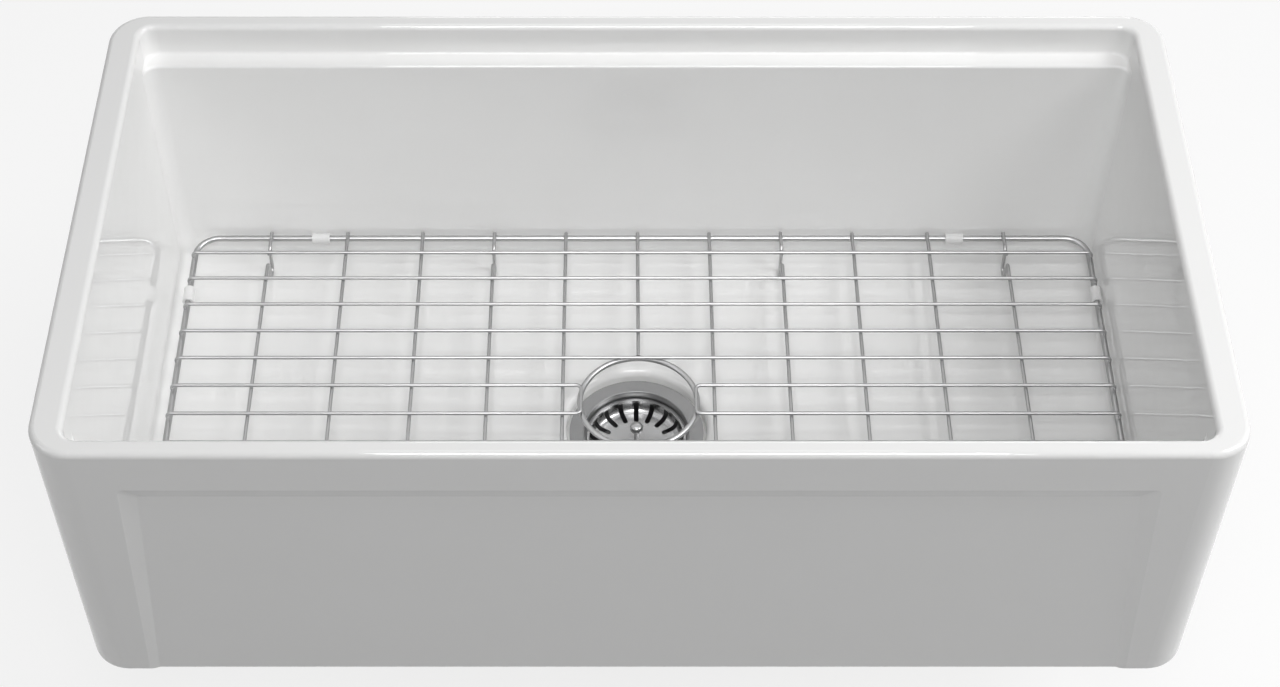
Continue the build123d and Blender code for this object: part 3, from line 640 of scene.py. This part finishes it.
class SINK_OT_strainer(bpy.types.Operator):
    """Finish the strainer body and the basket."""

    bl_idname = "sink.strainer"
    bl_label = "Basket strainer"

    def execute(self, context):
        look = context.scene.sink_finish
        flange = tuple(look.flange_colour), tuple(look.flange_shade)
        cup = tuple(look.cup_colour), tuple(look.cup_shade)
        dress(turned_steel("turned_flange", *flange, 0.32), "strainer_body")
        dress(turned_steel("polished_cup", *cup, 0.2, depth=0.003 * MM), "basket_cup")
        knob = turned_steel("polished_knob", *cup, 0.08, depth=0.002 * MM)
        dress(knob, "basket_post", "post_spacer", "stopper_nut")
        return {"FINISHED"}


class SINK_OT_waste(bpy.types.Operator):
    """Finish the gaskets, nuts and pipe below the sink."""

    bl_idname = "sink.waste"
    bl_label = "Waste fittings"

    def execute(self, context):
        look = context.scene.sink_finish
        chrome = tuple(look.chrome_colour), tuple(look.chrome_shade)
        dress(black_rubber(), "under_gasket", "stopper")
        dress(washer_plastic("white_foam"), "flange_gasket")
        dress(fibre_card(), "friction_ring")
        dress(cast_brass(), "lock_nut")
        dress(washer_plastic("washer_plastic"), "tail_washer")
        plating = turned_steel("chrome_plate", *chrome, 0.07, depth=0.001 * MM)
        dress(plating, "tailpiece", "coupling_nut")
        return {"FINISHED"}


class SINK_OT_stage(bpy.types.Operator):
    """Set the floor, the lamps and the camera."""

    bl_idname = "sink.stage"
    bl_label = "Stage"

    def lamp(self, name, place, power, side):
        """A soft square lamp that faces the middle of the sink."""
        light = bpy.data.lights.new(name, "AREA")
        light.energy = power
        light.size = side
        lamp = bpy.data.objects.new(name, light)
        lamp.location = place
        aim = LAMP_AIM - Vector(place)
        lamp.rotation_euler = aim.to_track_quat("-Z", "Y").to_euler()
        bpy.context.collection.objects.link(lamp)

    def execute(self, context):
        stage = context.scene.sink_stage
        for name in LAMPS:
            place, power, side = (getattr(stage, f"{name}_{fact}") for fact in ("place", "power", "size"))
            self.lamp(name + "_lamp", place, power, side)
        context.scene.world = self.room(stage)
        bpy.ops.object.select_all(action="DESELECT")
        bpy.ops.mesh.primitive_plane_add(size=FLOOR_SIDE, location=(0, 0, CAD_BOX[0][2] - FLOOR_GAP))
        floor = context.object
        floor.name = "floor"
        bpy.ops.object.transform_apply()
        floor.data.materials.append(self.floor_finish(stage))
        self.camera(context, stage)
        context.scene.view_settings.view_transform = "Standard"
        return {"FINISHED"}

    def room(self, stage):
        """A white surround for what the camera and mirrors see, which gives only a little light."""
        world = bpy.data.worlds.new("white_room")
        room = Nodes(world)
        light = (stage.backdrop_strength - stage.sky_strength) * room.seen() + stage.sky_strength
        sockets = {"Color": (1, 1, 1, 1), "Strength": light}
        background = room.node("ShaderNodeBackground", None, sockets)
        output = room.tree.nodes["World Output"]
        room.tree.links.new(background.outputs[0], output.inputs["Surface"])
        return world

    def floor_finish(self, stage):
        """Pale floor that shows as white to the camera and still takes the shadow."""
        finish = Finish("pale_floor", {"Roughness": 0.8})
        seen = finish.seen()
        shade = tuple(FLOOR_SHADE * c for c in stage.floor_colour[:3]) + (1,)
        pale = finish.blend(tuple(stage.floor_colour), shade, finish.noise(0.5))
        finish.feed(finish.blend(tuple(stage.floor_bounce), pale, seen))
        glow = finish.node("ShaderNodeEmission", None, {"Color": (1, 1, 1, 1), "Strength": 1.0})
        share = stage.floor_glow * seen
        mix = finish.node(
            "ShaderNodeMixShader", None, {0: share, 1: finish.shader.outputs[0], 2: glow.outputs[0]}
        )
        output = finish.tree.nodes["Material Output"]
        finish.tree.links.new(mix.outputs[0], output.inputs["Surface"])
        return finish.material

    def camera(self, context, stage):
        """The camera that took the photograph, level from side to side and looking down."""
        view = bpy.data.cameras.new("camera")
        view.sensor_width = SENSOR_WIDTH
        view.lens = stage.camera_focal * SENSOR_WIDTH / IMAGE_WIDTH
        view.shift_x = stage.camera_shift
        camera = bpy.data.objects.new("camera", view)
        camera.location = stage.camera_place
        camera.rotation_euler = (pi / 2 - stage.camera_pitch, 0, 0)
        context.collection.objects.link(camera)
        context.scene.camera = camera


class SINK_PT_panel(bpy.types.Panel):
    """The sink's pieces and stage."""

    bl_idname = "SINK_PT_panel"
    bl_label = "Farmhouse sink"
    bl_space_type = "VIEW_3D"
    bl_region_type = "UI"
    bl_category = "Sink"

    def draw(self, context):
        for operator in OPERATORS:
            self.layout.operator(operator.bl_idname)
        scene = context.scene
        for group in (scene.sink_finish, scene.sink_shape, scene.sink_stage):
            box = self.layout.box()
            for name in group.__annotations__:
                box.prop(group, name)


OPERATORS = (
    SINK_OT_basin,
    SINK_OT_grid,
    SINK_OT_bumpers,
    SINK_OT_welds,
    SINK_OT_strainer,
    SINK_OT_waste,
    SINK_OT_stage,
)
CLASSES = (SinkFinishSettings, SinkShapeSettings, SinkStageSettings, *OPERATORS, SINK_PT_panel)


def register():
    for cls in CLASSES:
        bpy.utils.register_class(cls)
    bpy.types.Scene.sink_finish = bpy.props.PointerProperty(type=SinkFinishSettings)
    bpy.types.Scene.sink_shape = bpy.props.PointerProperty(type=SinkShapeSettings)
    bpy.types.Scene.sink_stage = bpy.props.PointerProperty(type=SinkStageSettings)


def unregister():
    del bpy.types.Scene.sink_stage
    del bpy.types.Scene.sink_shape
    del bpy.types.Scene.sink_finish
    for cls in reversed(CLASSES):
        bpy.utils.unregister_class(cls)


def main():
    register()
    bpy.ops.sink.basin()
    bpy.ops.sink.grid()
    bpy.ops.sink.bumpers()
    bpy.ops.sink.welds()
    bpy.ops.sink.strainer()
    bpy.ops.sink.waste()
    bpy.ops.sink.stage()


if __name__ == "__main__":
    main()
